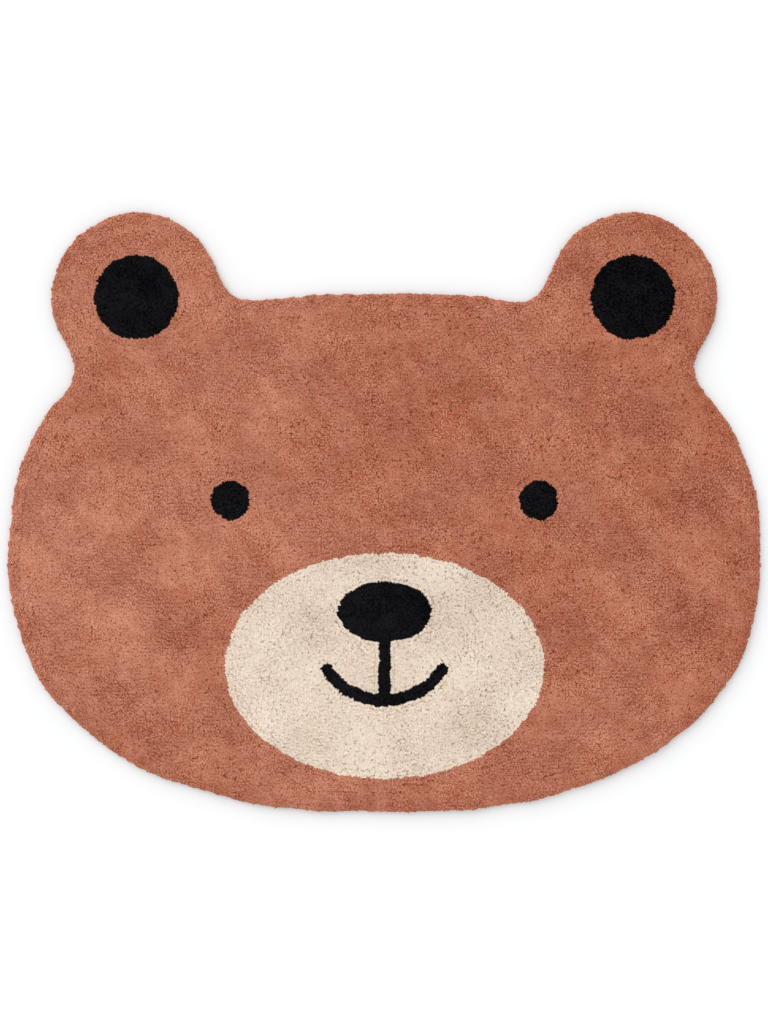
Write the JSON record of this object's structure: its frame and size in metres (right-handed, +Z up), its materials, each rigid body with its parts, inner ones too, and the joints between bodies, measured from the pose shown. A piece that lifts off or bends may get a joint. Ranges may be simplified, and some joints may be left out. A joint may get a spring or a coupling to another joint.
{
  "type": "kids rug",
  "caption": "Flat tufted cotton kids rug in the plain outline of a bear's head, with round ears and a low cut pile",
  "frame": {"origin": "On the floor under the middle of the rug's outer box", "axes": "+Z is up out of the pile, +X runs across the head and +Y runs from the chin to the ears"},
  "size_m": [1.001, 0.798, 0.014],
  "materials": {
    "ground_pile": "short terracotta cotton pile, cut level, matt",
    "light_pile": "short cream cotton pile, cut level, matt",
    "dark_pile": "short black cotton pile, cut level, matt",
    "backing": "plain cotton canvas, natural, matt"
  },
  "bodies": {
    "root": {"tufted_rug": "ground_pile"}
  },
  "joints": []
}
